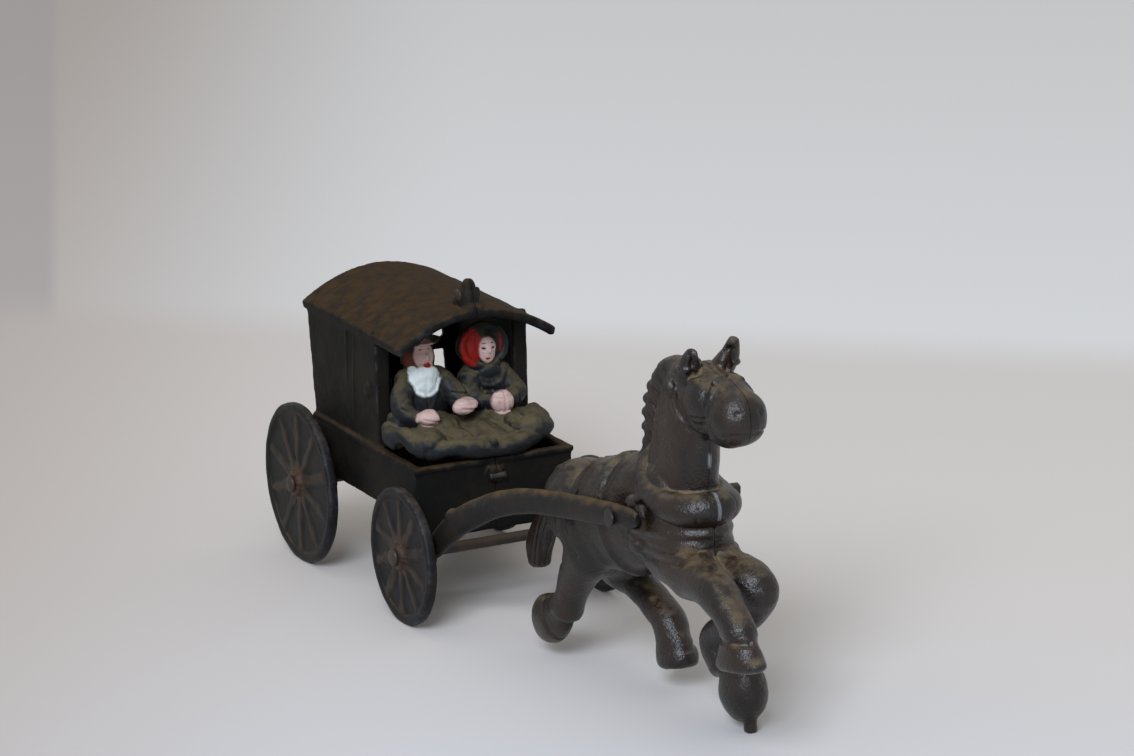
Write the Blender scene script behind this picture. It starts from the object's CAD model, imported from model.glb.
"""The looks of a cast iron toy carriage, its couple and its trotting horse.

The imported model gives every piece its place. This script casts a finer piece around each of its solids
and paints it. Pieces are modelled in millimetres from the rear axle: X the way the horse runs, Y to its
left, Z up from the table. Each finished piece is then set down in the model's own frame, in metres.
"""
import math

import bmesh
import bpy
import numpy as np
from mathutils import Matrix, Vector, noise


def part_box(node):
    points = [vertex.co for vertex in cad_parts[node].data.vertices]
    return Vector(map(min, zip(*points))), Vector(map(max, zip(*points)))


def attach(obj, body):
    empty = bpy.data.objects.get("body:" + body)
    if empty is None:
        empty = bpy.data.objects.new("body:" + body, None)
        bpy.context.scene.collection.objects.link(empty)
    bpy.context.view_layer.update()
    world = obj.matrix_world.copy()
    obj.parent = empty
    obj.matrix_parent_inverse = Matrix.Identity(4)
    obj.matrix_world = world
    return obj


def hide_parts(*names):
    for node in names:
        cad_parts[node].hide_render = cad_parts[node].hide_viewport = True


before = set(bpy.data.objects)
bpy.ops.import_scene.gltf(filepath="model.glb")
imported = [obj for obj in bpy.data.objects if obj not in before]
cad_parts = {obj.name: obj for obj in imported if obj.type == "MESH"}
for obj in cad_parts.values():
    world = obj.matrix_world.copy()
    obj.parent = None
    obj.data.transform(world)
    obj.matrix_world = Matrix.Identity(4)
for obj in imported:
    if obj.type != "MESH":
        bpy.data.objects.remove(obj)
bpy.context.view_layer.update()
scene = bpy.context.scene

# The camera.
# A long lens about 1.3 m away, low at the toy's right front: its place was worked out from the wheels,
# the roof and the shafts, whose sizes are known from the solids.
LENS_MM, SENSOR_MM = 157.2, 36.0
CAMERA_AT = (1.11794, -0.54850, 0.40936)
CAMERA_TURN = (1.30594, 0.02373, 1.10560)

camera_lens = bpy.data.cameras.new("camera")
camera_lens.lens = LENS_MM
camera_lens.sensor_width = SENSOR_MM
camera_lens.clip_end = 20.0
camera = bpy.data.objects.new("camera", camera_lens)
camera.location = CAMERA_AT
camera.rotation_euler = CAMERA_TURN
scene.collection.objects.link(camera)
scene.camera = camera
scene.view_settings.view_transform = "Standard"


# The white card that the toy was photographed on.
# Matt card that bends up about 20 cm behind the toy and again at the far left. Here it lies flat all
# round, so that the toy can be seen from behind, and the bends are soft changes of tone.
CARD_NEAR, CARD_BEHIND, CARD_RISING = "#c1c4c9", "#c8c3be", "#d3d3d2"
CARD_LEFT, CARD_CORNER = "#b0a8a1", "#a9a3a0"
CARD_FIBRE = 3.0          # real fibre is finer, and this is as fine as the render can show
FIBRE_HEIGHT, FIBRE_STRENGTH = 0.2, 0.15
CARD_ROUGHNESS, CARD_SPECULAR = 0.95, 0.1
CARD_RADIUS = 4000.0
# Each tone changes along a level direction, between two distances in metres from the middle of the toy.
TOWARDS_BEND, WARMS, RISES = (-0.752, 0.659, 0.0), (-0.25, 0.1), (0.28, 0.34)
TOWARDS_LEFT, DULLS = (-0.44, -0.90, 0.0), (0.02, 0.22)
TOWARDS_CORNER, TURNS = (-0.359, -0.933, 0.0), (0.1314, 0.1374)
MM = 0.001


def linear(code):
    """An sRGB hex colour as linear red, green, blue and alpha."""
    parts = [int(code[i:i + 2], 16) / 255 for i in (1, 3, 5)]
    return (*(c / 12.92 if c <= 0.04045 else ((c + 0.055) / 1.055) ** 2.4 for c in parts), 1.0)


def add_node(tree, kind, inputs=None, **settings):
    """Adds a node with its settings; an input is a plain value, or the socket that feeds it."""
    node = tree.nodes.new(kind)
    for name, value in settings.items():
        setattr(node, name, value)
    for name, value in (inputs or {}).items():
        if isinstance(value, bpy.types.NodeSocket):
            tree.links.new(value, node.inputs[name])
        else:
            node.inputs[name].default_value = value
    return node


def mix_colour(tree, amount, a, b):
    """The colour a turned into b by an amount from 0 to 1. Each of the three is a value or a socket."""
    node = add_node(tree, "ShaderNodeMix", data_type="RGBA")
    for index, value in ((0, amount), (6, a), (7, b)):
        if isinstance(value, bpy.types.NodeSocket):
            tree.links.new(value, node.inputs[index])
        else:
            node.inputs[index].default_value = value
    return node.outputs[2]


def ramp(tree, value, low, high, start=0.0, end=1.0):
    """A value brought smoothly from the range low to high into start to end."""
    ends = {"From Min": low, "From Max": high, "To Min": start, "To Max": end}
    node = add_node(tree, "ShaderNodeMapRange", {"Value": value, **ends}, interpolation_type="SMOOTHSTEP")
    return node.outputs["Result"]


def combine(tree, operation, *values):
    """The outcome of a sum with plain values or sockets, such as ADD or MULTIPLY."""
    return add_node(tree, "ShaderNodeMath", dict(enumerate(values)), operation=operation).outputs[0]


def new_material(name):
    """A material, its tree and its Principled shader."""
    material = bpy.data.materials.new(name)
    material.use_nodes = True
    return material, material.node_tree, material.node_tree.nodes["Principled BSDF"]


def matt_card():
    """Uncoated card: no gloss, a faint fibre, paler where it bends up and duller towards the far left."""
    material, tree, shader = new_material("uncoated_white_card")
    place = add_node(tree, "ShaderNodeTexCoord").outputs["Object"]
    bend, left, corner = (add_node(tree, "ShaderNodeVectorMath", {0: place, 1: way}, operation="DOT_PRODUCT")
                          .outputs["Value"] for way in (TOWARDS_BEND, TOWARDS_LEFT, TOWARDS_CORNER))
    tone = mix_colour(tree, ramp(tree, bend, *WARMS), linear(CARD_NEAR), linear(CARD_BEHIND))
    tone = mix_colour(tree, ramp(tree, bend, *RISES), tone, linear(CARD_RISING))
    tone = mix_colour(tree, ramp(tree, left, *DULLS), tone, linear(CARD_LEFT))
    beyond = combine(tree, "MULTIPLY", ramp(tree, bend, *RISES), ramp(tree, corner, *TURNS))
    tone = mix_colour(tree, beyond, tone, linear(CARD_CORNER))
    fibre = add_node(tree, "ShaderNodeTexNoise", {"Vector": place, "Scale": 1 / (CARD_FIBRE * MM),
                                                  "Detail": 4.0})
    bump = add_node(tree, "ShaderNodeBump", {"Height": fibre.outputs["Fac"], "Strength": FIBRE_STRENGTH,
                                             "Distance": FIBRE_HEIGHT * MM})
    tree.links.new(tone, shader.inputs["Base Color"])
    tree.links.new(bump.outputs["Normal"], shader.inputs["Normal"])
    shader.inputs["Roughness"].default_value = CARD_ROUGHNESS
    shader.inputs["Specular IOR Level"].default_value = CARD_SPECULAR
    return material


sheet = bmesh.new()
bmesh.ops.create_circle(sheet, cap_ends=True, segments=96, radius=CARD_RADIUS * MM)
card = bpy.data.objects.new("white_card", bpy.data.meshes.new("white_card"))
sheet.to_mesh(card.data)
sheet.free()
card.data.materials.append(matt_card())
scene.collection.objects.link(card)


# The light.
# A pale room all round, a broad soft lamp overhead, and a cooler one like a window, high behind the
# camera and to its left, which gives the paint its sheen. Matt level card comes out near its own colour.
ROOM, ROOM_LEVEL = "#f4f4f4", 0.62
LAMPS = (                 # name, place and width in metres, power in watts, colour
    ("overhead_lamp", (0.2, -0.1, 3.0), 2.2, 10.0, "#fffdf9"),
    ("window_lamp", (1.55, -1.35, 1.5), 1.0, 63.0, "#e8f0ff"))
LAMPS_AIM = Vector((0, 0, 0.04))

room = bpy.data.worlds.new("pale_room")
room.use_nodes = True
room.node_tree.nodes["Background"].inputs["Color"].default_value = linear(ROOM)
room.node_tree.nodes["Background"].inputs["Strength"].default_value = ROOM_LEVEL
scene.world = room
for name, place, width, power, colour in LAMPS:
    lamp = bpy.data.lights.new(name, "AREA")
    lamp.size = width
    lamp.energy = power
    lamp.color = linear(colour)[:3]
    holder = bpy.data.objects.new(name, lamp)
    holder.location = place
    holder.rotation_euler = (LAMPS_AIM - Vector(place)).to_track_quat("-Z", "Y").to_euler()
    scene.collection.objects.link(holder)


# The carriage body, two grey iron castings.
# Right and left half: side, half the roof, back, front board and floor, with the axle hangers and the
# riveting lugs. Sand-cast, so every edge is a little round and no wall is quite flat.
WALL = 1.8
SEAM = 0.15               # each casting half stops this far from the centre line
BOX_REAR, BOX_FRONT, BOX_HALF, BOX_TOP = -3.4, 63.5, 23.3, 41.0
BOX_LOW, BOX_ARCH = 21.0, 25.5      # lower edge of the sides, at their ends and between the wheels
BOARD_LOW = BOX_LOW + 2
FLOOR = (26.5, 28.3)
CAB_FRONT, CAB_HALF, CAB_BASE, CAB_LEAN = 38.5, 22.9, 40.2, 4.6
LEAN_TOP = 80.0           # height at which the back wall has leant out by CAB_LEAN
PILLAR, DOOR_HALF = 2.0, 18.7
EAVE, ROOF_RISE, ROOF_THICK, ROOF_HALF, ROOF_REAR, ROOF_FRONT = 72.0, 8.0, 2.0, 23.5, -8.9, 55.0
CAB_TOP = EAVE + 0.8
ROOF_STEPS = 14           # flats across each half of the roof
WINDOWS, WINDOW_INNER, WINDOW_OUTER = ((45.5, 53.8), (57.2, 66.5)), 5.5, 17.3
FRONT_AXLE, FRONT_R, REAR_R, AXLE_R = 66.5, 18.7, 22.5, 1.5
BEARING = AXLE_R + 0.3    # bore of every eye that an axle runs in
ROOF_RIVET, BOARD_RIVET, FLOOR_RIVET = (49.8, 83.2), (64.9, 36.2), (25.0, 24.4)
# two faint upright ridges on the side of the cab: foot and head, each as X, Z and radius
RIDGES = (((19.2, 55.0, 0.4), (20.0, 69.5, 0.7)), ((22.8, 44.0, 0.5), (24.7, 69.0, 0.5)))
# the lumps of the roof lug and the board lug: centre, radii and tip
LUGS = (((49.9, 0.8, 82.0), (3.7, 2.3, 4.0), 0), ((50.6, 0.5, 85.0), (1.9, 1.5, 2.9), 10),
        ((47.4, 1.1, 80.2), (2.7, 2.3, 2.6), 30), ((53.0, 1.0, 79.8), (2.6, 2.2, 2.0), -20),
        ((64.1, 0.5, 36.6), (1.4, 2.0, 2.5), 0))
BODY_VOXEL = 0.42
RIGHT, LEFT = -1, 1
HANDS = ((RIGHT, "right"), (LEFT, "left"))

low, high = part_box("rear_axle")
rear_axle_x = (low[0] + high[0]) / 2
TO_FRAME = Matrix.Translation((rear_axle_x, 0, 0)) @ Matrix.Scale(MM, 4)


def as_object(bm):
    """A bmesh turned into an object, faces outward."""
    mesh = bpy.data.meshes.new("form")
    bmesh.ops.recalc_face_normals(bm, faces=bm.faces)
    bm.to_mesh(mesh)
    bm.free()
    obj = bpy.data.objects.new("form", mesh)
    scene.collection.objects.link(obj)
    return obj


def join_rings(bm, rings, closed=False):
    """Joins each ring of points to the next with faces. A ring of one point is a tip."""
    for a, b in zip(rings, rings[1:] + (rings[:1] if closed else [])):
        count = max(len(a), len(b))
        for i in range(count):
            j = (i + 1) % count
            corners = (a[i % len(a)], a[j % len(a)], b[j % len(b)], b[i % len(b)])
            bm.faces.new(list(dict.fromkeys(corners)))


def slab(outline, span, across="Y"):
    """A flat outline given thickness. Across Y it is drawn in X and Z, and across X in Y and Z."""
    bm = bmesh.new()
    near, far = ([bm.verts.new((a, t, b) if across == "Y" else (t, a, b)) for a, b in outline] for t in span)
    bm.faces.new(near)
    bm.faces.new(far)
    join_rings(bm, [near, far])
    return as_object(bm)


def on_side(side, inner, outer):
    """The range along Y between two distances from the centre line, on one side of it."""
    return sorted((side * inner, side * outer))


def block(x, y, z):
    """A box from its three ranges."""
    return slab([(x[0], z[0]), (x[1], z[0]), (x[1], z[1]), (x[0], z[1])], y)


def egg(centre, radii, nose_up=0.0, turn=0.0):
    """An egg with its own length, width and height, tipped nose up and turned left, in degrees."""
    stand = (Matrix.Translation(centre) @ Matrix.Rotation(math.radians(turn), 4, "Z")
             @ Matrix.Rotation(-math.radians(nose_up), 4, "Y") @ Matrix.Diagonal((*radii, 1.0)))
    bm = bmesh.new()
    bmesh.ops.create_uvsphere(bm, u_segments=32, v_segments=20, radius=1.0, matrix=stand)
    return as_object(bm)


def eye(x, z, bore, outer, span, segments=48):
    """A round eye across the carriage, open for a rod."""
    bm = bmesh.new()
    turns = [math.tau * i / segments for i in range(segments)]
    loops = [[bm.verts.new((x + r * math.cos(turn), y, z + r * math.sin(turn))) for turn in turns]
             for r, y in ((bore, span[0]), (outer, span[0]), (outer, span[1]), (bore, span[1]))]
    join_rings(bm, loops, closed=True)
    return as_object(bm)


def smooth_line(stations, steps, closed=False):
    """Points and radii along a smooth line through the stations (x, y, z, radius)."""
    stations = [Vector(s) for s in stations]
    if closed:
        line = [stations[-1], *stations, stations[0], stations[1]]
    else:
        line = [stations[0], *stations, stations[-1]]
    points = []
    for a, b, c, d in zip(line, line[1:], line[2:], line[3:]):
        for i in range(steps):
            t = i / steps
            points.append(0.5 * (2 * b + (c - a) * t + (2 * a - 5 * b + 4 * c - d) * t ** 2
                                 + (3 * b - a - 3 * c + d) * t ** 3))
    return points if closed else points + [stations[-1]]


def sweep(stations, flatten=1.0, steps=6, sides=16, closed=False):
    """A tapering round bar along a smooth line, squeezed across the carriage by flatten."""
    points = smooth_line(stations, steps, closed)
    count = len(points)
    bm = bmesh.new()
    rings = []
    for i, (x, y, z, radius) in enumerate(points):
        behind = points[i - 1] if closed or i else points[i]
        ahead = points[(i + 1) % count] if closed or i < count - 1 else points[i]
        along = (ahead.xyz - behind.xyz).normalized()
        guide = Vector((0, 1, 0)) if abs(along.y) < 0.8 else Vector((0, 0, 1))
        up = along.cross(guide).normalized()
        out = up.cross(along)
        ring = []
        for k in range(sides):
            turn = math.tau * k / sides
            reach = (up * math.cos(turn) + out * math.sin(turn)) * radius
            ring.append(bm.verts.new((x + reach.x, y + reach.y * flatten, z + reach.z)))
        rings.append(ring)
    join_rings(bm, rings, closed)
    if not closed:
        bm.faces.new(rings[0])
        bm.faces.new(rings[-1])
    return as_object(bm)


def baked(obj):
    """Makes the object's modifiers permanent."""
    mesh = bpy.data.meshes.new_from_object(obj.evaluated_get(bpy.context.evaluated_depsgraph_get()))
    obj.modifiers.clear()
    obj.data = mesh
    return obj


def cut(base, tools):
    """Cuts the tools out of base and removes them."""
    for tool in tools:
        modifier = base.modifiers.new("cut", "BOOLEAN")
        modifier.operation = "DIFFERENCE"
        modifier.object = tool
        baked(base)
        bpy.data.objects.remove(tool, do_unlink=True)
    return base


def cast(forms, voxel, rounding):
    """Pours overlapping forms into one skin, its edges and corners rounded as sand rounds them."""
    bm = bmesh.new()
    for form in forms:
        bm.from_mesh(form.data)
        bpy.data.objects.remove(form, do_unlink=True)
    obj = as_object(bm)
    remesh = obj.modifiers.new("pour", "REMESH")
    remesh.mode = "VOXEL"
    remesh.voxel_size = voxel
    smooth = obj.modifiers.new("round", "SMOOTH")
    smooth.factor = 0.5
    smooth.iterations = rounding
    return baked(obj)


def skin_arrays(mesh):
    """Places and outward directions of every point of a skin."""
    places, outward = (np.empty(len(mesh.vertices) * 3) for _ in range(2))
    mesh.vertices.foreach_get("co", places)
    mesh.vertex_normals.foreach_get("vector", outward)
    return places.reshape(-1, 3), outward.reshape(-1, 3)


def lift_skin(obj, places, outward, lift):
    """Moves every point of a skin outward by its own lift."""
    obj.data.vertices.foreach_set("co", (places + outward * lift[:, None]).ravel())
    obj.data.update()


def wavy(obj, *waves):
    """Moves the skin in and out a little, as a hand-rammed mould does. Each wave is (depth, size, seed)."""
    for depth, size, seed in waves:
        places, outward = skin_arrays(obj.data)
        start = Vector((seed * 13.7, seed * 5.1, seed * 9.3))
        lift = np.array([noise.noise(Vector(place) / size + start) for place in places]) * depth
        lift_skin(obj, places, outward, lift)
    return obj


def half_of(obj, side, gap=SEAM):
    """The half of a skin on one side, closed with a flat face at the seam."""
    bm = bmesh.new()
    bm.from_mesh(obj.data)
    parted = bmesh.ops.bisect_plane(bm, geom=[*bm.verts, *bm.edges, *bm.faces], dist=1e-5,
                                    plane_co=(0, side * gap, 0), plane_no=(0, -side, 0), clear_outer=True)
    rim = [e for e in parted["geom_cut"] if isinstance(e, bmesh.types.BMEdge)]
    bmesh.ops.holes_fill(bm, edges=rim, sides=0)
    return as_object(bm)


def back_x(z):
    """Where the back of the cab stands at a height: it leans out towards the roof."""
    return BOX_REAR - CAB_LEAN / (LEAN_TOP - CAB_BASE) * max(0.0, z - CAB_BASE)


def roof_arch(width=1.0, drop=0.0, skip=1):
    """The roof's curve from right to left as (y, z), narrowed by width and lowered by drop."""
    flats = [i / ROOF_STEPS for i in range(-ROOF_STEPS, ROOF_STEPS + 1, skip)]
    return [(ROOF_HALF * i * width, EAVE + ROOF_RISE * (1 - i ** 2) - drop) for i in flats]


def back_wall():
    """The arched back of the cab with its four window panes."""
    outline = [(-CAB_HALF + 0.5, CAB_BASE), *roof_arch(0.95, 1.0), (CAB_HALF - 0.5, CAB_BASE)]
    wall = slab(outline, (0, WALL), "X")
    for vertex in wall.data.vertices:
        vertex.co.x += back_x(vertex.co.z)
    return cut(wall, [block((BOX_REAR - 9, BOX_REAR + 4), on_side(side, WINDOW_INNER, WINDOW_OUTER), z)
                      for side in (RIGHT, LEFT) for z in WINDOWS])


def side_forms(side):
    """One side: wall, cab, pillar, moulding, axle hangers, ridges, door knob and its half of each lug."""
    wall = [(BOX_REAR, BOX_TOP), (BOX_FRONT, BOX_TOP), (BOX_FRONT, BOX_LOW), (57.5, BOX_LOW), (55.6, 22.6),
            (52.5, 24.3), (47, BOX_ARCH), (13, BOX_ARCH), (8.5, 24.6), (5.5, BOARD_LOW),
            (BOX_REAR, BOARD_LOW)]
    cab = [(BOX_REAR, CAB_BASE - 0.8), (CAB_FRONT, CAB_BASE - 0.8), (CAB_FRONT, CAB_TOP),
           (back_x(CAB_TOP), CAB_TOP)]
    hanger = on_side(side, BOX_HALF - 3, BOX_HALF - 0.1)
    rear_hanger = [(-4.4, REAR_R + 0.6), (-4.4, 27.5), (4.4, 27.5), (4.4, REAR_R + 0.6), (2.6, REAR_R + 2.4),
                   (-2.6, REAR_R + 2.4)]
    front_hanger = [(59.5, 23), (63.2, 18.4), (64.4, 20.9), (66.4, 22.0), (63.3, 25)]
    floor_lug = [(22.8, 27.3), (22.8, 24.2), (23.6, 22.6), (25, 22.2), (26.4, 22.6), (27.2, 24.2),
                 (27.2, 27.3)]
    return [slab(wall, on_side(side, BOX_HALF - WALL, BOX_HALF)),
            slab(cab, on_side(side, CAB_HALF - WALL, CAB_HALF)),
            block((CAB_FRONT - PILLAR, CAB_FRONT), on_side(side, DOOR_HALF, CAB_HALF),
                  (CAB_BASE, EAVE + 1.6)),
            block((BOX_REAR - 0.4, BOX_FRONT + 0.5), on_side(side, 21.2, BOX_HALF + 0.5),
                  (39.5, BOX_TOP - 0.05)),
            eye(0, REAR_R, BEARING, 4.4, hanger), eye(FRONT_AXLE, FRONT_R, BEARING, 3.4, hanger),
            slab(rear_hanger, hanger), slab(front_hanger, hanger),
            *(sweep([(x, side * (CAB_HALF - 0.2), z, r) for x, z, r in ridge]) for ridge in RIDGES),
            egg((33.4, side * (CAB_HALF + 0.05), 56.0), (1.5, 1.3, 2.2)),
            *(egg((x, side * y, z), radii, tip) for (x, y, z), radii, tip in LUGS),
            slab(floor_lug, on_side(side, SEAM, 2.4))]


def body_forms():
    """Every wall, moulding, hanger and lug of the body, both halves."""
    wide = (-BOX_HALF, BOX_HALF)
    roof = roof_arch() + roof_arch(0.985, ROOF_THICK)[::-1]
    lips = ((ROOF_FRONT - 1.0, 1.35), (ROOF_REAR + 1.1, 1.2))
    return [block((BOX_REAR, BOX_FRONT), (-BOX_HALF + 0.3, BOX_HALF - 0.3), FLOOR),
            block((BOX_FRONT - WALL, BOX_FRONT), wide, (BOX_LOW, BOX_TOP)),
            block((BOX_REAR, BOX_REAR + WALL), wide, (BOARD_LOW, BOX_TOP)),
            block((BOX_FRONT - 2.2, BOX_FRONT + 0.6), (-BOX_HALF + 0.4, BOX_HALF - 0.4),
                  (BOX_TOP - 1.5, BOX_TOP)),
            back_wall(),
            *(sweep([(x, y, z, radius) for y, z in roof_arch(0.985, 1.15, 2)], steps=3, sides=14)
              for x, radius in lips),
            slab(roof, (ROOF_REAR, ROOF_FRONT), "X"), *side_forms(RIGHT), *side_forms(LEFT)]


def mark_hollows(obj, rounds, depth):
    """Stores how far each point lies below its smoothed surroundings (plus) or above (minus), in depths."""
    mesh = obj.data
    count = len(mesh.vertices)
    places, outward = skin_arrays(mesh)
    ends = np.empty(len(mesh.edges) * 2, dtype=int)
    mesh.edges.foreach_get("vertices", ends)
    a, b = ends.reshape(-1, 2).T
    neighbours = np.bincount(np.concatenate((a, b)), minlength=count)[:, None]
    soft = places.copy()
    for _ in range(rounds):
        soft = np.stack([np.bincount(a, soft[b, k], count) + np.bincount(b, soft[a, k], count)
                         for k in range(3)], axis=1) / neighbours
    below = ((soft - places) * outward).sum(axis=1) / depth
    mesh.attributes.new("hollow", "FLOAT", "POINT").data.foreach_set("value", np.clip(below, -1, 1))
    return obj


CLOUD, MOTTLE = 14.0, 3.6           # sizes of the broad and the small patches in old paint
DUST_ON_TOP, DUST_IN_HOLLOWS = 0.6, 0.5
DUST_THINS = 0.7                    # how slowly the dust thins out at its edge
DUST_ROUGHNESS, DUST_GLOSS, DUST_ON_DAUBS = 0.88, 0.4, 0.25
MOTTLE_HEIGHT = 0.35                # height of the small patches, as a share of the sand grain's


def aged_iron(name, paint, patch, dust, rub, dusty, shine, gloss, grain,
              cast_grain=0.45, patchy=0.2, masks=()):
    """Cast iron under old brush paint: uneven colour, dust where it settles, edges rubbed, sandy grain.

    paint, patch, dust and rub are colours. dusty is how far the dust has spread and patchy how unevenly,
    shine the roughness of the bare paint and gloss its specular level. cast_grain is the size of the sand
    grain and grain its height, in mm. masks lists (attribute, colour) for what was daubed on by hand.
    """
    material, tree, shader = new_material(name)
    coordinates = add_node(tree, "ShaderNodeTexCoord")
    place = coordinates.outputs["Object"]
    up = add_node(tree, "ShaderNodeSeparateXYZ", {"Vector": coordinates.outputs["Normal"]}).outputs["Z"]
    hollow = add_node(tree, "ShaderNodeAttribute", attribute_name="hollow").outputs["Fac"]

    def patches(size, detail):
        """Soft noise whose patches have a real size in mm."""
        inputs = {"Vector": place, "Scale": 1 / (size * MM), "Detail": detail, "Roughness": 0.6}
        return add_node(tree, "ShaderNodeTexNoise", inputs).outputs["Fac"]

    cloud, mottle, sand = patches(CLOUD, 4.0), patches(MOTTLE, 5.0), patches(cast_grain, 3.0)
    colour = mix_colour(tree, ramp(tree, cloud, 0.4, 0.64), linear(paint), linear(patch))
    settled = combine(tree, "ADD", ramp(tree, up, 0.0, 0.95, 0.0, DUST_ON_TOP),
                      ramp(tree, hollow, 0.1, 0.9, 0.0, DUST_IN_HOLLOWS))
    settled = combine(tree, "ADD", ramp(tree, mottle, 0.25, 0.75, -patchy, patchy), settled)
    dust_mask = ramp(tree, settled, 1.0 - dusty, 1.0 + DUST_THINS - dusty)
    worn = combine(tree, "MULTIPLY", ramp(tree, hollow, -0.3, -1.0), ramp(tree, mottle, 0.45, 0.7))
    colour = mix_colour(tree, worn, colour, linear(rub))
    for attribute, hue in masks:
        cover = add_node(tree, "ShaderNodeAttribute", attribute_name=attribute).outputs["Fac"]
        colour = mix_colour(tree, cover, colour, linear(hue))
        dust_mask = combine(tree, "MULTIPLY", dust_mask, ramp(tree, cover, 0.0, 1.0, 1.0, DUST_ON_DAUBS))
    colour = mix_colour(tree, dust_mask, colour, linear(dust))
    heights = combine(tree, "MULTIPLY_ADD", mottle, MOTTLE_HEIGHT, sand)
    bump = add_node(tree, "ShaderNodeBump", {"Height": heights, "Strength": 1.0, "Distance": grain * MM})
    tree.links.new(colour, shader.inputs["Base Color"])
    tree.links.new(ramp(tree, dust_mask, 0.0, 1.0, shine, DUST_ROUGHNESS), shader.inputs["Roughness"])
    tree.links.new(ramp(tree, dust_mask, 0.0, 1.0, gloss, gloss * DUST_GLOSS),
                   shader.inputs["Specular IOR Level"])
    tree.links.new(bump.outputs["Normal"], shader.inputs["Normal"])
    return material


SHARP_EDGE = math.radians(50)


def finish_piece(obj, name, body, nodes, material):
    """Sets a finished piece down in the model's frame, in place of the solids that it stands for."""
    obj.data.transform(TO_FRAME)
    obj.data.shade_smooth()
    obj.data.set_sharp_from_angle(angle=SHARP_EDGE)
    obj.name = obj.data.name = name
    obj.data.materials.append(material)
    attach(obj, body)
    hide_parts(*nodes)


MISMATCH = (-0.25, 0.0, -0.15)      # the left casting sits a hair back and low: the moulds never met exactly
body_paint = aged_iron(
    "brush_painted_cast_iron_body", "#0e0e0d", "#1a1611", "#3d2f1f", "#2c2e31",
    dusty=0.86, shine=0.6, gloss=0.12, grain=0.1, patchy=0.26)
body_skin = wavy(cast(body_forms(), BODY_VOXEL, 3), (0.16, 6.0, 1), (0.05, 1.7, 2))
mark_hollows(body_skin, 14, 0.5)
for side, hand in HANDS:
    half = half_of(body_skin, side)
    if side == LEFT:
        half.data.transform(Matrix.Translation(MISMATCH))
    finish_piece(half, f"body_{hand}_half_cast", "carriage", [f"body_{hand}_half"],
                 body_paint)
bpy.data.objects.remove(body_skin, do_unlink=True)


# The rivets and the pin, cold-headed steel.
# Each is a plain shank with a low head hammered down at both ends, so no head is quite round or level.
# Blackened steel, rubbed to bare metal where hands and tools touch it.
RIVETS = (                # name, X and Z, shank radius, head radius, half the grip, height of the head, body
    ("roof_rivet", ROOF_RIVET, 1.0, 1.7, 2.4, 0.6, "carriage"),
    ("board_rivet", BOARD_RIVET, 0.75, 1.1, 1.7, 0.5, "carriage"),
    ("floor_rivet", FLOOR_RIVET, 0.75, 1.4, 2.4, 0.8, "carriage"),
    ("shaft_pin", (162.7, 52.1), 1.2, 2.3, 15.5, 0.9, "horse_and_shafts"),
    ("horse_neck_rivet", (176.0, 78.0), 0.9, 1.6, 5.6, 0.9, "horse_and_shafts"),
    ("horse_rump_rivet", (117.0, 44.0), 0.9, 1.6, 9.3, 0.9, "horse_and_shafts"))
CLEAR = 0.3               # gap under a head


def turned(profile, x, z, segments=40, uneven=0.0):
    """A turned shape: the profile's (radius, place along Y) spun about the line through x and z."""
    bm = bmesh.new()
    rings = []
    for radius, y in profile:
        if radius == 0:
            rings.append([bm.verts.new((x, y, z))])
            continue
        ring = []
        for i in range(segments):
            turn = math.tau * i / segments
            bumps = noise.noise(Vector((math.cos(turn) * 1.3 + x, y * 0.4, math.sin(turn) * 1.3)))
            r = radius * (1 + uneven * bumps)
            ring.append(bm.verts.new((x + r * math.cos(turn), y, z + r * math.sin(turn))))
        rings.append(ring)
    join_rings(bm, rings)
    return as_object(bm)


def headed(shank, head, grip, length):
    """The profile of a shank with a hammered head at each end."""
    dome = [(0.0, 1.0)] + [(math.cos(t) ** 0.7, math.sin(t)) for t in (1.3, 1.0, 0.7, 0.42, 0.18, 0.0)]
    end = [(head * r, grip + length * (0.25 + 0.75 * h)) for r, h in dome]
    right = [(r, -y) for r, y in end] + [(head * 0.98, -grip), (shank, -grip)]
    return right + [(r, -y) for r, y in reversed(right)]


black_steel = aged_iron(
    "blackened_hammered_steel", "#1b1918", "#2b241f", "#4a4334", "#5f5b55",
    dusty=0.5, shine=0.45, gloss=0.4, grain=0.03)
for name, (x, z), shank, head, grip, length, body in RIVETS:
    rivet = wavy(turned(headed(shank, head, grip + CLEAR, length), x, z, uneven=0.12), (0.06, 1.0, x))
    finish_piece(mark_hollows(rivet, 2, 0.3), name + "_steel", body, [name], black_steel)


# The axles, plain round steel rod.
# Each rod runs loose in the hangers and hubs and is headed outside the wheels. It is bare metal that
# has gone brown, a little brighter where the wheels rub.
AXLES = (                 # name, X, Z, and the hub's outer face from the centre line
    ("rear_axle", 0.0, REAR_R, 32.2), ("front_axle", FRONT_AXLE, FRONT_R, 31.6))
AXLE_HEAD, AXLE_HEAD_HEIGHT = 2.4, 1.1

brown_steel = aged_iron(
    "bare_steel_rod_gone_brown", "#231d19", "#332820", "#40372b", "#5a5048",
    dusty=0.5, shine=0.5, gloss=0.4, grain=0.03)
for name, x, z, hub_end in AXLES:
    rod = turned(headed(AXLE_R, AXLE_HEAD, hub_end + CLEAR, AXLE_HEAD_HEIGHT), x, z, uneven=0.1)
    wavy(rod, (0.05, 1.2, z))
    finish_piece(mark_hollows(rod, 2, 0.3), name + "_rod", "carriage", [name], brown_steel)


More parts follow.
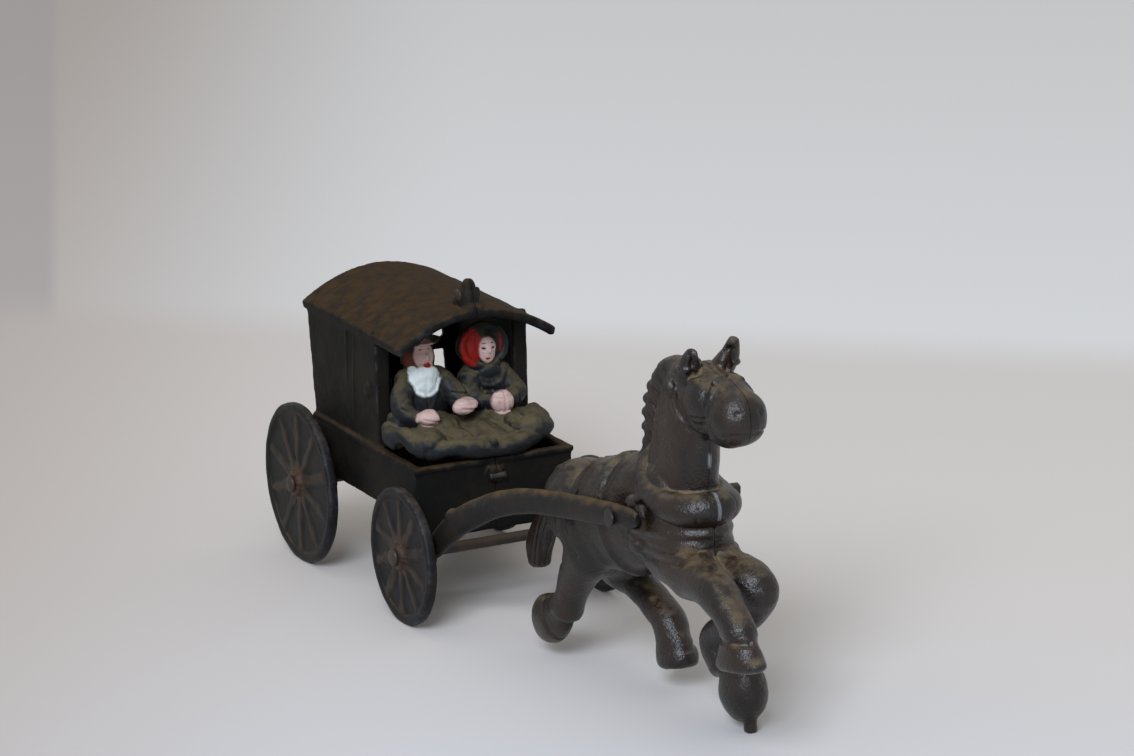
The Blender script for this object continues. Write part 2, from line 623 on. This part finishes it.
# The wheels, four grey iron castings.
# A disc with a raised round rim and ten low spokes on both faces, and a bored hub. The ramming left
# every spoke a little different; rust has bled out of the hub and the spokes have kept the dust.
WHEELS = (                # name, X, radius, and from the centre line: the web, the hub's inner and outer face
    ("rear", 0.0, REAR_R, 29.5, (23.7, 32.2)), ("front", FRONT_AXLE, FRONT_R, 29.1, (26.7, 31.6)))
BORE, HUB, WEB, RIM_HALF, RIM_DEPTH, SPOKES = 1.85, 3.6, 0.7, 1.5, 2.6, 10
SPOKE_HALF, SPOKE_RISE, SPOKE_EDGE = 1.3, 0.5, 1.3
RUST_REACH = 3.4          # how far the rust has spread from the bore
STEPS_ROUND, WEB_STEPS = 260, 26


def clamp(value):
    """A value held between 0 and 1."""
    return max(0.0, min(1.0, value))


def wheel_section(radius, face):
    """Radius and height of one face of the wheel from the bore to the tread; face is the hub's height."""
    hub = [(BORE, face), (HUB - 0.9, face), (HUB - 0.35, face - 0.15), (HUB - 0.05, face - 0.5),
           (HUB + 0.15, (face + WEB) / 2), (HUB + 0.45, WEB + 0.12)]
    foot, crown = radius - RIM_DEPTH - 0.5, radius - RIM_DEPTH / 2
    web = [(HUB + 0.9 + (foot - HUB - 0.9) * i / WEB_STEPS, WEB) for i in range(WEB_STEPS + 1)]
    rim = [(crown + RIM_DEPTH / 2 * math.sin(t), WEB * 0.2 + (RIM_HALF - WEB * 0.2) * math.cos(t) ** 0.55)
           for t in (-1.15, -0.9, -0.6, -0.3, 0.0, 0.3, 0.6, 0.9, 1.2, 1.4)]
    return hub + web + rim


def cast_wheel(x, radius, rim_y, hub, side, seed):
    """The wheel as one closed skin, its spokes raised out of the web."""
    outer, inner = (wheel_section(radius, face) for face in (hub[1] - rim_y, rim_y - hub[0]))
    path = [(r, h, 1) for r, h in outer] + [(radius, 0.0, 1)] + [(r, h, -1) for r, h in reversed(inner)]
    bm = bmesh.new()
    spoke_cover, rust_cover = (bm.verts.layers.float.new(name) for name in ("spoke", "rust"))
    rings = []
    for r, height, out in path:
        ring = []
        for i in range(STEPS_ROUND):
            turn = math.tau * i / STEPS_ROUND
            lift = 0.0
            if HUB + 0.3 < r < radius - RIM_DEPTH:
                spoke = round(turn / math.tau * SPOKES - 0.5) + 0.5
                off = abs(r * math.sin(turn - math.tau * spoke / SPOKES))
                rammed = noise.noise(Vector((spoke * 3.1, r * 0.3, seed)))
                wide = SPOKE_HALF * (1.25 - 0.5 * r / radius + 0.7 * rammed)
                near = clamp((wide + 0.7 - off) / SPOKE_EDGE)
                lift = SPOKE_RISE * near * near * (3 - 2 * near)
            ring.append(bm.verts.new((x + r * math.cos(turn), side * (rim_y + out * (height + lift)),
                                      radius + r * math.sin(turn))))
            patchy = noise.noise(Vector((r * 0.22, turn * 5.0, seed)))
            ring[-1][spoke_cover] = clamp(lift / SPOKE_RISE * (0.85 + patchy))
            ring[-1][rust_cover] = clamp(1.3 - (r - BORE) / RUST_REACH) * clamp(0.6 + patchy)
        rings.append(ring)
    join_rings(bm, rings, closed=True)
    return as_object(bm)


wheel_paint = aged_iron(
    "brush_painted_cast_iron_wheels", "#111215", "#1a1816", "#463c2f", "#35373b",
    dusty=0.66, shine=0.5, gloss=0.18, grain=0.1, masks=(("spoke", "#302820"), ("rust", "#463222")))
for word, x, radius, rim_y, hub in WHEELS:
    for side, hand in HANDS:
        seed = radius + side
        wheel = wavy(cast_wheel(x, radius, rim_y, hub, side, seed), (0.12, 4.0, seed))
        finish_piece(mark_hollows(wheel, 8, 0.3), f"{word}_wheel_{hand}_cast", f"{word}_{hand}_wheel",
                     [f"{word}_wheel_{hand}"], wheel_paint)


# The shafts, two curved iron bars.
# Each hooks onto the front axle by an eye, sweeps up and in beside the horse and ends flat at the pin.
# The same paint as the carriage; dust lies along the top, and the near one has a lump where it was fed.
SHAFT_Y, SHAFT_FLATTEN, SHAFT_EYE, SHAFT_EYE_HALF = 25.05, 0.62, 2.9, 1.3
SHAFT_VOXEL = 0.36
SHAFT_LINE = (
    (67.7, SHAFT_Y, 19, 2.2), (72.5, 24.9, 20.6, 2.5), (77.8, 24.2, 24.2, 3.3), (84.5, 22.5, 30.4, 3.7),
    (92, 20.8, 35.2, 3.7), (104, 18.2, 41, 3.5), (117.4, 15.8, 44.9, 3.4), (131.6, 14.4, 47.4, 3.4),
    (151.9, 13.6, 50.6, 3.4), (162.7, 13.5, 52.1, 3.3), (169, 13.4, 53.2, 2.8), (173, 13.2, 53.8, 1.6))

shaft_paint = aged_iron(
    "brush_painted_cast_iron_shafts", "#0f0f10", "#1b1713", "#54442f", "#35373b",
    dusty=0.86, shine=0.46, gloss=0.24, grain=0.1)
for side, hand in HANDS:
    bar = sweep([(x, side * y, z, r) for x, y, z, r in SHAFT_LINE], SHAFT_FLATTEN, steps=10, sides=28)
    eye_span = on_side(side, SHAFT_Y - SHAFT_EYE_HALF, SHAFT_Y + SHAFT_EYE_HALF)
    ring = eye(FRONT_AXLE, FRONT_R, BEARING, SHAFT_EYE, eye_span)
    lump = [egg((84.5, -22.6, 33), (3.2, 2, 2.4), 35)] if side == RIGHT else []
    hole = turned([(0, -3), (BEARING, -3), (BEARING, 3), (0, 3)], FRONT_AXLE, FRONT_R)
    hole.data.transform(Matrix.Translation((0, side * SHAFT_Y, 0)))
    shaft = cut(cast([bar, ring] + lump, SHAFT_VOXEL, 2), [hole])
    wavy(shaft, (0.2, 5, side + 4), (0.05, 1.5, side + 6))
    finish_piece(mark_hollows(shaft, 10, 0.4), f"shaft_{hand}_cast", "horse_and_shafts", [f"shaft_{hand}"],
                 shaft_paint)


# The couple on the front seat, one iron casting painted by hand.
# A bearded man and a woman in a bonnet sit under a thick lap robe that rolls over the front board. Both
# faces are plain and calm. Thick brush paint, pink, white and red, over the same black as the carriage.
COUPLE_VOXEL = 0.3
ROBE_EDGE = (
    (41.5, -20.6, 46.6, 2.6), (47.6, -22, 45.4, 2.9), (53.6, -21.6, 47.6, 2.4), (59.6, -18.4, 44.6, 2.7),
    (62.6, -12, 45.2, 2.2), (63.8, -6, 44.3, 2.6), (64.4, -1, 43.4, 2), (64, 4, 43.6, 2.5),
    (62.2, 9.5, 44, 2.6), (59, 14.8, 45, 2.9), (53, 18.8, 45.8, 3.1), (45.5, 20, 46.2, 2.9))
SLEEVES = (
    ((40.2, -14.6, 58.2, 3), (42.6, -17.6, 54.2, 3.2), (45.4, -17, 50.6, 2.9), (48.2, -14.6, 49.8, 2.3)),
    ((40.4, -4.6, 58.4, 3), (43.2, -2, 54.6, 3.1), (45.8, -1, 52, 2.9), (48, -1.6, 51.6, 2.4)),
    ((40.4, 4, 57.6, 2.8), (43, 3.2, 53.8, 2.8), (45.4, 5, 51.8, 2.5), (47.4, 7.6, 51.6, 2.2)),
    ((40.2, 14.8, 56.4, 2.8), (43, 16.8, 52.8, 2.8), (45.6, 14.8, 51.4, 2.5), (47.6, 12, 51.4, 2.2)))
DAUBS = {                 # colours put on by hand: each fills egg-shaped spots of space (centre, radii)
    "lining": (((42, 4.3, 66), (3.2, 3.3, 5.2)), ((41.6, 13, 66.2), (2, 0.5, 2.6))),
    "hair": (((41, -14, 65), (3.4, 1.7, 2.6)),),
    "flesh": (((43.6, 8.7, 65), (2.6, 2.75, 4)), ((43.2, -10.1, 66.4), (2.9, 3.3, 4.3)),
              ((50.6, -13, 50.6), (3, 3.7, 2.6)), ((50.6, -1.6, 52.4), (2.7, 4.4, 2.7)),
              ((50.4, 9.4, 52), (2.9, 3.7, 3.5))),
    "beard": (((43.4, -10.5, 60.2), (3.6, 4.8, 3)), ((43.6, -10.3, 58.2), (3.2, 4, 3.5)),
              ((42.4, -13.6, 61.8), (2.6, 1.3, 1.5))),
    "lips": (((44.2, -9.7, 63.4), (2.4, 1.3, 0.65)), ((44.4, 8.4, 62.7), (1.6, 0.85, 0.45))),
    "ink": (((44.4, 7.1, 65.7), (1.7, 0.62, 0.45)), ((44.4, 10, 65.7), (1.7, 0.62, 0.45)),
            ((44.4, 7.1, 67), (1.7, 0.8, 0.18)), ((44.4, 10, 67), (1.7, 0.8, 0.18)),
            ((43.6, -11.2, 67.6), (1.9, 0.55, 0.2)), ((43.6, -8.7, 67.6), (1.9, 0.55, 0.2)))}
FROM_ABOVE, FROM_SIDE, FROM_FRONT = (0, 1), (0, 2), (1, 2)      # axes that a stroke is drawn in


def sculpt(obj, view, strokes, keep):
    """Raises (plus) or sinks soft-edged lines on a skin.

    Each stroke is (points, width, height), drawn in the view's two axes and thrown onto the skin where
    keep(places, outward) is true.
    """
    places, outward = skin_arrays(obj.data)
    flat = places[:, list(view)]
    allowed = keep(places, outward)
    lift = np.zeros(len(places))
    for points, width, height in strokes:
        stroke = smooth_line(points, 5) if len(points) > 1 else points * 2
        line = np.array([tuple(p) for p in stroke], float)
        near = np.full(len(places), np.inf)
        for a, b in zip(line, line[1:]):
            along = b - a
            share = np.clip(((flat - a) @ along) / max(1e-9, along @ along), 0, 1)[:, None]
            near = np.minimum(near, np.linalg.norm(flat - a - share * along, axis=1))
        fall = np.clip(1 - (near / width) ** 2, 0, 1) ** 2
        lift += np.where(allowed, height * fall, 0.0)
    lift_skin(obj, places, outward, lift)


def daub(obj, name, spots, soft=0.16):
    """Stores where a brush put a colour: one inside any of the egg-shaped spots, with a wavering edge."""
    places, _ = skin_arrays(obj.data)
    waver = np.array([noise.noise(Vector(p) / 1.1) for p in places]) * 0.06
    cover = np.zeros(len(places))
    for centre, radii in spots:
        away = np.linalg.norm((places - np.array(centre)) / np.array(radii), axis=1)
        cover = np.maximum(cover, np.clip((1 + waver - away) / soft + 0.5, 0, 1))
    obj.data.attributes.new(name, "FLOAT", "POINT").data.foreach_set("value", cover)


def eggs(*lumps):
    """Several eggs, each given as egg takes it."""
    return [egg(*lump) for lump in lumps]


def couple_forms():
    """Seat, robe, bodies, arms, heads, beard, bonnet and hat, as overlapping lumps."""
    # seat; robe over the laps and knees, with its bulges; backs and chests; shoulders
    forms = [block((31.5, 44), (-16.4, 16.4), (40, 46))]
    forms += eggs(((51.5, 0, 43.4), (13.4, 20.4, 4.2)),
                  ((45, -9.5, 45.2), (8.6, 9.6, 4.8), 4), ((45, 9.5, 45), (8.6, 9.6, 4.8), 4),
                  ((56.5, -16.8, 46), (6.4, 5.4, 3.9)), ((55.6, 14, 46), (7.6, 6.8, 4.6)),
                  ((42.6, -19, 48.6), (3.4, 2.4, 3.2)), ((65, -0.8, 45.4), (1.4, 1.5, 1.6)),
                  ((39.4, -9.8, 52.6), (4.8, 7.8, 9.4)), ((39.4, 9.6, 51.8), (4.8, 7.8, 9.2)),
                  ((39.2, -13.4, 57.6), (3.8, 4.4, 4.6)), ((39.2, -5.6, 57.8), (3.6, 4.2, 4.2)),
                  ((39.2, 13.2, 56), (3.8, 4.4, 4.4)), ((39.2, 5.2, 56.6), (3.6, 4.2, 4)))
    # rolled edge of the robe, sleeves, his two hands and her folded ones
    forms += [sweep(ROBE_EDGE, steps=8, sides=20)] + [sweep(arm, steps=6, sides=18) for arm in SLEEVES]
    forms += eggs(((50, -13, 50.6), (2.7, 3.3, 2.2), 0, -20), ((49.8, -1.8, 52.4), (2.5, 4.1, 2.4), 0, 8),
                  ((49.6, 9.4, 52), (2.4, 3.4, 3.2)))
    # his head, hair, beard, nose, hat brim and crown
    forms += eggs(((38.6, -10, 65), (4.5, 4.2, 5.8)), ((38.8, -12.6, 64.8), (3.7, 2.8, 3.4)),
                  ((41.5, -10.4, 59.8), (3.2, 4.5, 4.3), -8), ((41.9, -10.3, 58), (2.8, 3.5, 3.3), -8),
                  ((43, -9.9, 65.3), (1.1, 0.85, 1.3), 20), ((38.4, -10, 69.4), (6.2, 6.2, 1.1)),
                  ((38.2, -10, 71), (4.2, 4.2, 3.4)))
    # her bonnet and its rim, face, nose and collar
    turns = [math.tau * i / 16 for i in range(16)]
    rim = [(41.0 - 0.8 * math.cos(t), 8.4 + 6.4 * math.sin(t), 65.7 + 5.7 * math.cos(t), 0.95) for t in turns]
    forms += [egg((38.2, 8.8, 65.3), (4.6, 7.2, 6.4)), sweep(rim, steps=3, sides=12, closed=True)]
    return forms + eggs(((41.2, 8.8, 64.9), (3.1, 2.9, 4.1)), ((44, 8.6, 65), (0.9, 0.6, 1), 20),
                        ((40, 9.2, 58.6), (3.6, 4.2, 3)))


FACES_AND_COATS = [
    # eyes, mouths and the edges of the two faces
    ([(7.1, 65.6)], 0.9, -0.28), ([(10, 65.6)], 0.9, -0.28),
    ([(7.6, 62.7), (8.4, 62.5), (9.2, 62.7)], 0.4, -0.14),
    ([(-11.4, 67.2)], 1, -0.25), ([(-8.7, 67.2)], 1, -0.25),
    ([(-10.8, 63.5), (-9.7, 63.2), (-8.6, 63.5)], 0.5, -0.2),
    ([(6, 69), (5.6, 65.6), (6.4, 62.2)], 0.5, -0.3), ([(11.6, 69), (12, 65.6), (11.2, 62.2)], 0.5, -0.3),
    # locks of the beard
    ([(-13.2, 61), (-12.6, 58.2), (-11.6, 55.8)], 0.6, -0.1),
    ([(-10.4, 60.4), (-10.6, 57.6), (-10.6, 55)], 0.6, -0.12),
    ([(-8, 60.6), (-8.4, 58), (-9.2, 55.4)], 0.6, -0.1),
    # fingers
    ([(7.6, 52.4), (8.4, 49.4)], 0.5, -0.3), ([(9.2, 52.6), (9.8, 49.2)], 0.5, -0.3),
    ([(7, 54), (11.6, 53.4)], 0.9, -0.4),
    ([(11, 52), (11.2, 49.8)], 0.5, -0.2), ([(-3.6, 52), (1.2, 51)], 0.5, -0.25),
    ([(-4.6, 53.6), (0.4, 52.8)], 0.7, -0.2), ([(-15, 50.6), (-10.8, 49.6)], 0.5, -0.25),
    # coat fronts, lapels and folds
    ([(-10.4, 55.2), (-9.8, 48)], 0.6, -0.35), ([(9.2, 57), (9.6, 53)], 0.5, -0.25),
    ([(-14.6, 58.6), (-12.4, 53.8), (-10.8, 50.2)], 0.9, 0.3),
    ([(-6, 58.6), (-8, 53.8), (-9.4, 50.6)], 0.9, 0.3),
    ([(4.6, 58), (6.2, 55.8), (8.8, 54.9)], 0.9, 0.3), ([(13.8, 58), (12.4, 56), (10, 55)], 0.9, 0.3),
    ([(-19, 53), (-16.4, 51.4)], 0.6, -0.3), ([(-3.6, 55.4), (0.6, 54.6)], 0.6, -0.3)]
ROBE_FOLDS = [
    # between the knees and towards the rolled edge
    ([(48, -14), (53, -10.5), (58.5, -8.6)], 1.6, -0.6), ([(47, -2.5), (53, -3.4), (59, -3)], 1.8, -0.7),
    ([(48, 4), (53.5, 6.2), (59, 6.6)], 1.6, -0.5), ([(48, 14.5), (53, 11.6), (58, 10.6)], 1.5, -0.6),
    ([(50, -8), (56, -6.2)], 2.2, 0.5), ([(50.5, 1.6), (57, 2)], 2, 0.4),
    ([(51, 9.5), (57, 9)], 1.8, 0.4)]

couple_paint = aged_iron(
    "thick_hand_painted_cast_iron", "#15181a", "#1d1f20", "#534b38", "#3a3d42",
    dusty=0.9, shine=0.5, gloss=0.18, grain=0.06, cast_grain=0.5,
    masks=(("lining", "#7f110b"), ("hair", "#552d26"), ("flesh", "#bb9f99"),
    ("beard", "#cfd9d8"), ("lips", "#91201a"), ("ink", "#181512")))
hollow_under_robe = egg((54.4, -21.6, 43), (4.6, 5, 2.4), 0, 20)
below_the_box_edge = block((20, 90), (-40, 40), (30, BOX_TOP + CLEAR))
couple = cut(cast(couple_forms(), COUPLE_VOXEL, 2), [hollow_under_robe, below_the_box_edge])
sculpt(couple, FROM_FRONT, FACES_AND_COATS,
       lambda places, outward: (places[:, 0] > 39.5) & (outward[:, 0] > 0.05))
sculpt(couple, FROM_ABOVE, ROBE_FOLDS,
       lambda places, outward: (places[:, 2] < 50.5) & (outward[:, 2] > 0))
wavy(couple, (0.45, 4.4, 11), (0.12, 1.4, 12))
for name, spots in DAUBS.items():
    daub(couple, name, spots)
finish_piece(mark_hollows(couple, 12, 0.4), "seated_couple_cast", "couple", ["seated_couple"],
             couple_paint)


# The horse, two grey iron castings.
# Right and left half, parted down the middle of the back, the face and the chest, with the harness cast
# on. Thin brown-black paint with a soft shine, dust in the harness, a metal fin left along the chest.
HORSE_BASE_VOXEL, HORSE_VOXEL = 0.9, 0.42
HORSE_SEAM = 0.07         # the paint has nearly closed this one
# Each leg as X, Y, Z and radius from inside the trunk to the pastern, the fore leg first.
LEGS = {
    RIGHT: (
        ((175, 2, 46, 8.8), (186, 5.6, 42.6, 6.6), (198, 7, 43, 5.5), (206, 7.5, 41.2, 5.1),
         (213, 7.8, 37.6, 4.3), (217, 8, 34.2, 4.6)),
        ((120, 2, 43, 9.8), (131, 4.2, 36.5, 8.6), (126.6, 6.4, 27, 5.6), (123.4, 7.4, 20.5, 4.4),
         (120.6, 7.8, 14, 4.7))),
    LEFT: (
        ((175, 2, 45, 8.6), (186, 4.6, 42.2, 6.2), (197.6, 6.4, 39.8, 5.8), (194, 7.4, 33.8, 4.9),
         (184, 8, 26.5, 4.4), (174.8, 8, 19.5, 5), (180, 8, 13.5, 4.8)),
        ((120, 2, 43, 9.8), (131, 4.2, 35, 8.6), (122, 6.6, 25.5, 5.9), (132, 7.4, 23.5, 4.7),
         (142.5, 7.6, 20, 4.5), (149, 7.7, 17, 4.7), (150.6, 7.8, 12.5, 4.5)))}
# The hooves in the same order, from the pastern to the sole. The left fore hoof is one round lump.
HOOF_LINES = {
    RIGHT: (
        ((212.5, 8, 37, 5), (214.4, 8, 33, 6.6), (215.6, 8, 29.4, 8.4), (216.2, 8, 26.4, 9.4)),
        ((119.6, 7.9, 14.6, 5.2), (115.4, 8.1, 12, 6.6), (110.6, 8.3, 10, 6.8), (106.4, 8.3, 8.6, 5))),
    LEFT: (
        ((150.2, 7.8, 15, 5.2), (151.2, 7.9, 11.6, 6.4), (152.4, 7.9, 8.4, 7.2), (153, 7.9, 6, 6.4)),)}
HOOF_FLATTEN = {RIGHT: 0.58, LEFT: 0.72}
RIGHT_FORE_TOE = ((221.6, -8, 28.6), (5.2, 3.8, 2), 14)
PEG_R, PEG_HALF = 1.7, 4.0          # the peg under the left fore hoof that the horse stands on
EAR_TOP = {RIGHT: 99.2, LEFT: 101.0}
EAR_OUT = {RIGHT: 4.6, LEFT: 6.2}
COLLAR = ((162, 1, 68, 2.6), (163.6, 5.4, 64.6, 2.8), (169, 7.6, 60.6, 3.3), (176.4, 7.7, 58.2, 3.8),
          (183.4, 6, 58, 4.1), (187, 2.6, 58.4, 4.2), (187.6, -1, 58.6, 4.2))
CREST = ((169.4, 90.4), (165.2, 88.6), (161.9, 85.6), (158.9, 82.4), (157, 78.8), (156.2, 75), (156, 71.2),
         (156.2, 67.4))


def horse_body():
    """Trunk, neck, head, tail and all four legs, melted together softly."""
    # barrel, chest, withers, rump; skull, muzzle, nose bridge, jaw; left fore hoof
    forms = eggs(((142, 0, 45.5), (26, 11.2, 15.2), 13), ((171.5, 0, 50), (17.4, 11, 16.5), 20),
                 ((153, 0, 55), (13, 8.8, 9.5), 10), ((118, 0, 42), (13.6, 10.9, 12.2), 15),
                 ((189, 0, 84.5), (7, 6.6, 8), -15), ((201.6, 0, 85.2), (7, 7.4, 7.5)),
                 ((197, 0, 87.6), (8.6, 6.4, 6.3), -8), ((197.4, 0, 81.2), (6.4, 5.4, 4.8)),
                 ((187.4, 8, 10.2), (8, 5.8, 8.6)))
    # neck, crest, face, tail
    forms += [sweep([(169.5, 0, 56, 14.4), (173.6, 0, 68, 12.8), (175.6, 0, 78, 11.8), (177.5, 0, 86, 9.6),
                     (180, 0, 90, 6.8)], 0.56, sides=32),
              sweep([(154, 0, 64.5, 2.4), (158, 0, 72, 3.2), (159.2, 0, 79.6, 3.6), (163, 0, 86.2, 3.6),
                     (169.6, 0, 90.4, 3.3), (180, 0, 93, 2.6)], 0.75),
              sweep([(181, 0, 88.6, 6.6), (189, 0, 87.6, 6.6), (196, 0, 86.8, 6), (202, 0, 86.2, 6)], 0.98,
                    sides=32),
              sweep([(108, 0, 46, 3.6), (101, 0, 39.5, 3.9), (94.6, 0, 31, 4.1), (89.8, 0, 23, 4.3),
                     (89.6, 0, 17.2, 3.5)], 0.85)]
    for side in (RIGHT, LEFT):
        for limbs, flatten in ((LEGS[side], 1.0), (HOOF_LINES[side], HOOF_FLATTEN[side])):
            forms += [sweep([(x, side * y, z, r) for x, y, z, r in limb], flatten, sides=28)
                      for limb in limbs]
        if side == RIGHT:
            forms.append(egg(*RIGHT_FORE_TOE))
    return cast(forms, HORSE_BASE_VOXEL, 9)


def horse_details():
    """Ears, blinkers, mane, collar with its knobs, girth and the peg, laid onto the body."""
    forms = [egg((147, 0, 46.8), (4, 11.9, 16.2), 13)]
    for side in (RIGHT, LEFT):
        # ear, blinker, cheek rosette, half of the collar, and the pads behind and below it
        out = EAR_OUT[side]
        forms.append(sweep([(183.5, side * 4.2, 91, 3.3), (185.6, side * out, 95.6, 2.7),
                            (188, side * out * 1.1, EAR_TOP[side], 1.3)]))
        forms += eggs(((190.4, side * 4.6, 87.4), (6.4, 3.5, 5.8), 10),
                      ((177.6, side * 5.4, 87.6), (1.5, 1.2, 2)))
        forms.append(sweep([(x, side * y, z, r) for x, y, z, r in COLLAR], steps=8, sides=24))
        forms += eggs(((173, side * 5.4, 62.4), (7, 3.6, 3.6), -30),
                      ((168.6, side * 9, 51.8), (4.6, 3.4, 6), 25),
                      ((166.6, side * 9.8, 46.6), (3.6, 2.8, 4)))
    # tufts of the mane, the left knob of the collar and the two lumps that are left of the right one
    forms += eggs(*(((x - 1, 0, z + 0.5), (2.1, 2.2, 1.9), 40) for x, z in CREST))
    forms.append(sweep([(171.6, 7, 57.2, 2.4), (173, 11.4, 57.4, 2.1), (173.8, 15, 57.4, 2)]))
    forms += eggs(((166, -10.6, 55.8), (3.2, 2, 2.4), 20), ((168.8, -10, 58), (2.2, 1.8, 1.6), 30))
    peg = turned([(0, -PEG_HALF), (PEG_R, -PEG_HALF), (PEG_R, PEG_HALF), (0, PEG_HALF)], 0, 0)
    peg.data.transform(Matrix.Translation((191, 8, PEG_HALF)) @ Matrix.Rotation(math.pi / 2, 4, "X"))
    return forms + [peg]


HARNESS = [
    # bridle: throat strap, brow strap, face strap, noseband
    ([(179.4, 94.5), (177.6, 90), (178.4, 84.5), (182.6, 79.4)], 1.2, 0.65),
    ([(180.5, 93.4), (186, 94.6), (193, 94.2), (196.8, 92.6)], 1, 0.6),
    ([(194.6, 95), (197.4, 92), (198.6, 88.6), (197.6, 84), (197, 79.6)], 1.1, 0.55),
    # breast strap, its lower edge, and the crease below it
    ([(163, 49.6), (175.3, 50.7), (187, 52), (196.4, 53.2)], 1.5, 0.35),
    ([(160, 47.4), (175, 47), (190, 48.6)], 0.7, -0.3),
    ([(170, 43.2), (180, 44.8), (192, 47.6), (202, 50.6)], 1.5, -0.7),
    # back straps and the tail strap
    ([(129.1, 56.6), (126.4, 47.2), (125.4, 38)], 1.2, 0.4), ([(151.7, 62.4), (145.7, 51.1)], 1.2, 0.35),
    ([(110, 50.4), (120, 53), (131, 57.4)], 1, 0.35)]
MUSCLES = [
    # jaw, mouth, cheek, shoulder, flank and thigh
    ([(181.5, 79.6), (188, 77.8), (195, 78.6)], 0.9, -0.4), ([(199, 83), (203, 82), (208, 82.4)], 0.6, -0.35),
    ([(186, 86.2), (190, 83.6), (195.5, 84)], 0.8, -0.3),
    ([(165.5, 56.5), (163, 49), (166.5, 41.5)], 1.3, -0.5),
    ([(131, 49), (129, 41), (134, 34)], 1.6, -0.6), ([(115, 36), (120, 31.5), (126, 29)], 1.4, -0.4),
    ([(172, 84), (169.5, 75), (170.5, 66)], 1.2, -0.3)]
LOCKS = [([(x - 2.2, z + 1.9), (x + 2.4, z - 1.2), (x + 6, z - 6)], 0.7, -0.5)
         for x, z in ((167.4, 89.6), (163.6, 87.2), (160.4, 84.2), (157.9, 80.8), (156.4, 77),
                      (155.8, 73.2), (155.8, 69.4))]
TAIL_HAIR = [([(107.0 + d, 46.5 - d), (99.6 + d, 38.5 - d * 0.6), (93.6 + d, 29), (89.6 + d, 18)], 0.5, -0.35)
             for d in (-2, -0.4, 1.2, 2.8)]
HOOF_EDGES = {RIGHT: [([(206.6, 31.6), (213, 33.4), (221.6, 34.4)], 1.1, -0.6),
                      ([(112.4, 17), (118.6, 6.4)], 1, -0.4)],
              LEFT: [([(179, 13.8), (186, 15.8), (194, 13.4)], 0.6, -0.4),
                     ([(143.6, 13.4), (158.4, 12)], 1.1, -0.55)]}
FIN = [([(186.5, 71.9), (188, 65.1), (189.6, 61.2), (188.4, 54.7)], 1.4, 0.45)]
NOSTRILS = [([(side * 3.2, 87.6)], 1.3, -0.4) for side in (RIGHT, LEFT)]
EAR_HOLLOWS = [([(side * 4.9, 93.5), (side * 5.1, 98.6)], 1.3, -1.1) for side in (RIGHT, LEFT)]
BARE_FIN = [((x, 0, z), (2.6, 0.3, 3.2))
            for x, z in ((188, 70.4), (188.8, 66.6), (189.8, 62.6), (191.4, 58.6))]

horse_paint = aged_iron(
    "thin_brown_black_paint_on_cast_iron", "#0e0906", "#20140b", "#6b5c45", "#3a3735",
    dusty=0.64, shine=0.31, gloss=0.5, grain=0.25, cast_grain=0.7, masks=(("fin", "#707073"),))
horse = cast([horse_body()] + horse_details(), HORSE_VOXEL, 2)
for side in (RIGHT, LEFT):
    sculpt(horse, FROM_SIDE, HARNESS + MUSCLES + LOCKS + TAIL_HAIR + HOOF_EDGES[side],
           lambda places, outward: (places[:, 1] * side > 0.6) & (outward[:, 1] * side > -0.2))
sculpt(horse, FROM_SIDE, FIN, lambda places, outward: (np.abs(places[:, 1]) < 0.45) & (outward[:, 0] > 0.3))
sculpt(horse, FROM_FRONT, NOSTRILS, lambda places, outward: places[:, 0] > 204)
sculpt(horse, FROM_FRONT, EAR_HOLLOWS,
       lambda places, outward: (places[:, 0] > 185) & (places[:, 2] > 92.6) & (outward[:, 0] > 0.2))
daub(horse, "fin", BARE_FIN)
mark_hollows(wavy(horse, (0.22, 5, 21), (0.06, 1.6, 22)), 16, 0.6)
for side, hand in HANDS:
    finish_piece(half_of(horse, side, HORSE_SEAM), f"horse_{hand}_half_cast", "horse_and_shafts",
                 [f"horse_{hand}_half"], horse_paint)
bpy.data.objects.remove(horse, do_unlink=True)
